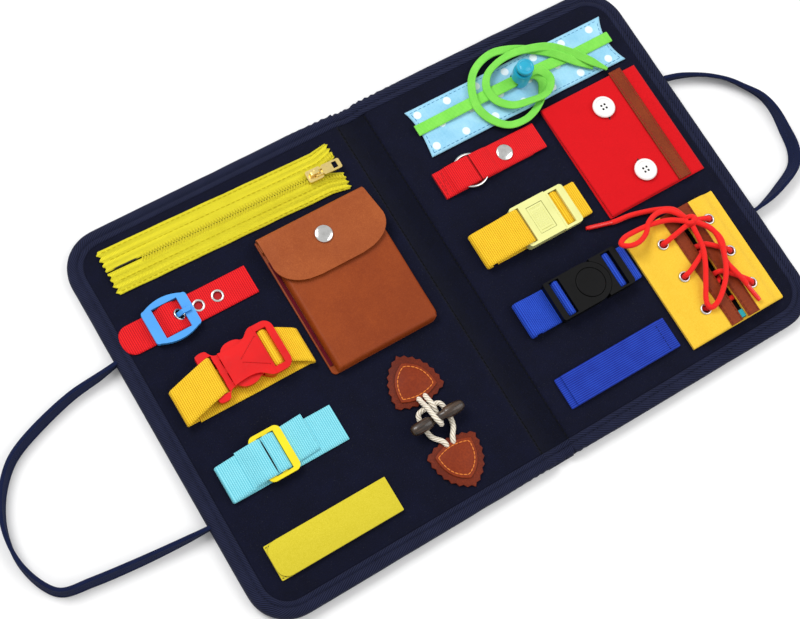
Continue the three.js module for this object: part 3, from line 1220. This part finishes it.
const pushGroup = station(rightColumn + pushClip.buttonAt, halfPage * rowShares.push);
const pushTop = clipBase + pushClip.height;
const armHalf = pushClip.width / 2 - pushClip.edge;
const armLow = clipBase + pushClip.armLift;
const pushFold = -pushClip.buttonAt;
const pushBodyBarX = -pushClip.left + pushClip.bar + pushClip.slot - innerBar.at;
const pushBladeBarX = pushClip.right - pushClip.rightBar - pushClip.rightSlot + innerBar.at;
const pushBarZ = innerBarHeight(pushTop - fit);
const pushUnder = clipBase + fit + webbing.thick / 2;
const pushBarLow = pushUnder + webbing.thick / 2 + fit;
addPiece(pushGroup, 'push_base_strap', fixedStrapSolid(pushFold + foldReach, pushClip.right + pushClip.tail,
  pushClip.right, pushBladeBarX, pushBarZ, pushUnder), finishes.blueWeb);
const pushBodyLine = innerBarLine(pushFold, webbing.loop, -pushClip.left, pushBodyBarX, pushBarZ, pushUnder,
  clipBase + fit);
addPiece(pushGroup, 'push_body_strap', bodyStrapSolid(pushBodyLine), finishes.blueWeb);

// The body's nose is an arc about the button, and the fixed half is hollowed to meet it
function pushBodySolid() {
  const [half, c, nose] = [pushClip.width / 2, pushClip.corner, pushClip.nose];
  const shape = new THREE.Shape();
  shape.moveTo(-pushClip.left + c, -half);
  shape.lineTo(0, -half);
  shape.absarc(0, 0, nose, -Math.PI / 2, Math.PI / 2, false);
  shape.lineTo(-pushClip.left + c, half);
  shape.quadraticCurveTo(-pushClip.left, half, -pushClip.left, half - c);
  shape.lineTo(-pushClip.left, -half + c);
  shape.quadraticCurveTo(-pushClip.left, -half, -pushClip.left + c, -half);
  const slotX = -pushClip.left + pushClip.bar;
  const slot = slab(roundedRect(slotX, slotX + pushClip.slot, -slotHalf, slotHalf, fit), 0, pushTop + cut);
  const well = disc(0, 0, pushClip.button + fit, pushTop - pushClip.buttonThick - pushClip.press - fit,
    pushTop + cut, 28);
  const rooms = [-1, 1].map((side) => {
    const [y0, y1] = [side * (armHalf - pushClip.arm - fit), side * (armHalf + fit)].sort((a, b) => a - b);
    return box(-pushClip.armReach - fit, nose + cut, y0, y1, armLow - fit,
      armLow + pushClip.armThick + fit);
  });
  const notch = box(-pushClip.left - cut, slotX + fit, -slotHalf, slotHalf, 0, pushBarLow);
  const bar = innerBarSolid(pushBodyBarX, pushBarZ, slotHalf + fit * 2);
  return joined(cutBy(slab(shape, clipBase, pushTop, 8), slot, well, notch, ...rooms), bar);
}
addPiece(pushGroup, 'push_buckle_body', pushBodySolid(), finishes.black);

function pushButtonSolid() {
  const low = pushTop - pushClip.buttonThick;
  const top = pushTop + pushClip.proud;
  const r = pushClip.button;
  return turned([[0, low], [r, low], [r, top - pushClip.proud], [r - pushClip.proud, top],
    [0, top + pushClip.proud / 2]], 0, 0, 28);
}
addPiece(pushGroup, 'push_button', pushButtonSolid(), finishes.black);

function pushBladeSolid() {
  const half = pushClip.width / 2;
  const shell = slab(roundedRect(pushClip.nose / 2, pushClip.right, -half, half,
    [0, pushClip.corner, pushClip.corner, 0]), clipBase, pushTop);
  const hollow = disc(0, 0, pushClip.nose + fit, 0, pushTop + cut, 40);
  const end = pushClip.right - pushClip.rightBar;
  const slot = box(end - pushClip.rightSlot, end, -slotHalf, slotHalf, 0, pushTop + cut);
  const arms = [-1, 1].map((side) => {
    const [y0, y1] = [side * (armHalf - pushClip.arm), side * armHalf].sort((a, b) => a - b);
    return box(-pushClip.armReach, pushClip.nose, y0, y1, armLow, armLow + pushClip.armThick);
  });
  const notch = box(end - fit, pushClip.right + cut, -slotHalf, slotHalf, 0, pushBarLow);
  const bar = innerBarSolid(pushBladeBarX, pushBarZ, slotHalf + fit * 2);
  return joined(cutBy(shell, hollow, slot, notch), bar, ...arms);
}
addPiece(pushGroup, 'push_blade', pushBladeSolid(), finishes.black);

const blueGroup = station(rightColumn - fit * 5, halfPage * rowShares.grip);
const blueHalf = grip.rightWidth / 2;
addPiece(blueGroup, 'blue_loop_strip', box(0, grip.rightLength, -blueHalf, blueHalf, 0, grip.thick),
  finishes.blueWeb);
addPiece(blueGroup, 'blue_hook_strip', box(grip.rightInset, grip.rightLength - grip.rightInset, -blueHalf,
  blueHalf, grip.thick + fit,
  grip.thick * 2 + fit), finishes.blueWeb);

// Lacing panel: two flaps that rise to a gap, six eyelets, and a lace that crosses and ties in a bow

const lacingGroup = station(rightPanel - lacing.shift, halfPage * rowShares.laces);
const lacingHalf = lacing.height / 2;
const tent = lacing.base + fit * 3 + lacing.lace * 2;

// Flap sewn down at its outer edge, held up by the lace beneath it, with a leather strip at the gap
function lacingFlapSolid(outer, inner, eyeletIn) {
  const side = Math.sign(inner - outer);
  const t = lacing.felt / 2;
  const [low, high] = [lacing.base + t - fit / 2, tent + t];
  const eyeletX = inner - side * (lacing.strip + eyeletIn);
  const line = [[outer, low], [outer + side * lacing.seam, low], [eyeletX - side * lacing.level, high],
    [inner, high]];
  const cloth = crossBand(strapOutline(line, lacing.felt), 0, lacing.height);
  const stripX = [inner - side * lacing.strip, inner].sort((a, b) => a - b);
  const strip = box(stripX[0], stripX[1], -lacingHalf, lacingHalf, high, high + t + lacing.leather);
  let body = joined(cloth, strip);
  for (let i = 0; i < 3; i += 1) {
    const y = lacingHalf - lacing.topEyelet - i * lacing.pitch;
    body = joined(body, disc(eyeletX, y, lacing.eyelet + lacing.rim, high, high + t + lacing.rimHeight,
      12));
    body = cutBy(body, disc(eyeletX, y, lacing.eyelet, tent - cut, high + lacing.lace * 2, 12));
  }
  return body;
}
const gapLeft = lacing.gapAt - lacing.gap / 2;
const gapRight = lacing.gapAt + lacing.gap / 2;
const lacingBase = box(0, lacing.width, -lacingHalf, lacingHalf, 0, lacing.base);
const lacingFlaps = [lacingFlapSolid(0, gapLeft, lacing.leftEyelet),
  lacingFlapSolid(lacing.width, gapRight, lacing.rightEyelet)];
addPiece(lacingGroup, 'lacing_panel', joined(lacingBase, ...lacingFlaps), finishes.yellowFelt);

// The lace's crossings, from the knot round the eyelets and back to the knot
const crossingRoute = [[46.5, 30, 11], [55.5, 27.4, 9.8], [58.6, 26.4, 8.4], [59, 26.2, 6.4],
  [58.5, 26, 4.5],
  [55.5, 24.6, 3.4], [44.6, 12, 3.3], [42.3, 10.4, 3.3], [41.1, 9.3, 5.9], [40.9, 9.2, 7.7],
    [39.4, 8.3, 9.7],
  [37, 7, 10.3], [24, 1.4, 9.8], [21.2, 0.8, 8.4], [20.6, 0.8, 6.4], [21.1, 0.6, 4.5], [24, 0, 3.4],
  [37.4, -6.1, 3.3], [39.7, -6.7, 3.3], [40.9, -7.2, 5.9], [41.1, -7.4, 7.7], [42.6, -8, 9.7],
    [45, -9.6, 10.3],
  [56.5, -22, 9.8], [58.5, -24.2, 8.4], [59, -24.8, 6.4], [58.5, -25.3, 4.5], [55.5, -26, 3.4],
    [40, -26.4, 3.1],
  [24, -25, 3.1], [20, -21, 3.1], [24, -17.3, 3.1], [40, -12.9, 3.1], [54, -3.5, 3.3], [58.6, 0.4, 4],
  [59, 0.8, 6.4], [58.2, 1.3, 8.4], [55.3, 3.4, 9.8], [45, 12.3, 10.3], [42.6, 13.5, 9.7],
    [41.1, 13.9, 7.7],
  [40.9, 14.2, 5.9], [39.7, 15, 3.3], [37.4, 16, 3.3], [24, 24.8, 3.4], [21.1, 26, 4.5], [20.6, 26.2, 6.4],
  [21.2, 26.4, 8.4], [24.3, 26.6, 9.8], [42.5, 29.5, 11.3]];
const bowRoutes = [
  [[41, 32, 12], [32.3, 37.6, 11.6], [19.3, 41.1, 11.6], [5.3, 42.1, 12.6], [-3.7, 41.6, 13.2],
    [-7.7, 39.1, 13.2],
    [-3.7, 35.6, 13.2], [4.3, 34.6, 12.8], [12.3, 37.6, 12.2], [17.3, 42.6, 13], [26.3, 45.6, 12.6],
      [34.3, 43.6, 12.6], [42, 35, 12.4]],
  [[46.3, 28.6, 12.5], [52.3, 19.6, 13.5], [54.3, 9.6, 14.2], [50.3, -0.4, 13.6], [44.3, -11.4, 14],
    [36.3, -19.4, 11.5],
    [28.3, -23.4, 9.8], [27.3, -19.4, 9.8], [31.3, -9.4, 11], [36.3, 0.6, 12.5], [40.3, 10.6, 13],
      [43.2, 26, 12.5]],
];
const looseRoutes = [
  [[42.3, 33.6, 12.4], [39.3, 42.6, 10.8], [33.3, 48.6, 5], [24.3, 52.6, 2], [14.3, 55.1, 1.8],
    [4.3, 56.2, 1.8], [0.8, 56.8, 1.8]],
  [[47.5, 27.6, 12.5], [53.3, 17.6, 13.8], [52.3, 5.6, 13.8], [49.8, -4.4, 11.6], [50.3, -14.4, 13.4],
    [53, -22, 11],
    [53.6, -24.6, 10]],
];
const agletRoutes = [
  [[0.8, 56.8, 1.8], [-5.2, 58.4, 1.8], [-17.2, 61.6, 1.8]],
  [[53.6, -24.6, 10], [54.2, -29, 9.6], [55.3, -37.9, 9.4]],
];
const knot = { x: 44.4, y: 30.6, z: 12, halfLength: 6.5, halfWidth: 3.4, halfHeight: 3.1 };

function shoelaceSolid() {
  const thick = lacing.lace * 2;
  const strands = [sweep(crossingRoute, 2, thick),
    ...[...bowRoutes, ...looseRoutes].map((route) => sweep(route, 1, thick))];
  const aglets = agletRoutes.map((route) => sweep(route, 1, lacing.aglet * 2));
  const ball = new THREE.SphereGeometry(1, 10, 6);
  ball.scale(knot.halfLength, knot.halfWidth, knot.halfHeight);
  ball.translate(knot.x, knot.y, knot.z);
  return joined(solidOf(ball), ...strands, ...aglets);
}
addPiece(lacingGroup, 'shoelace', shoelaceSolid(), finishes.redLace);

export default board;
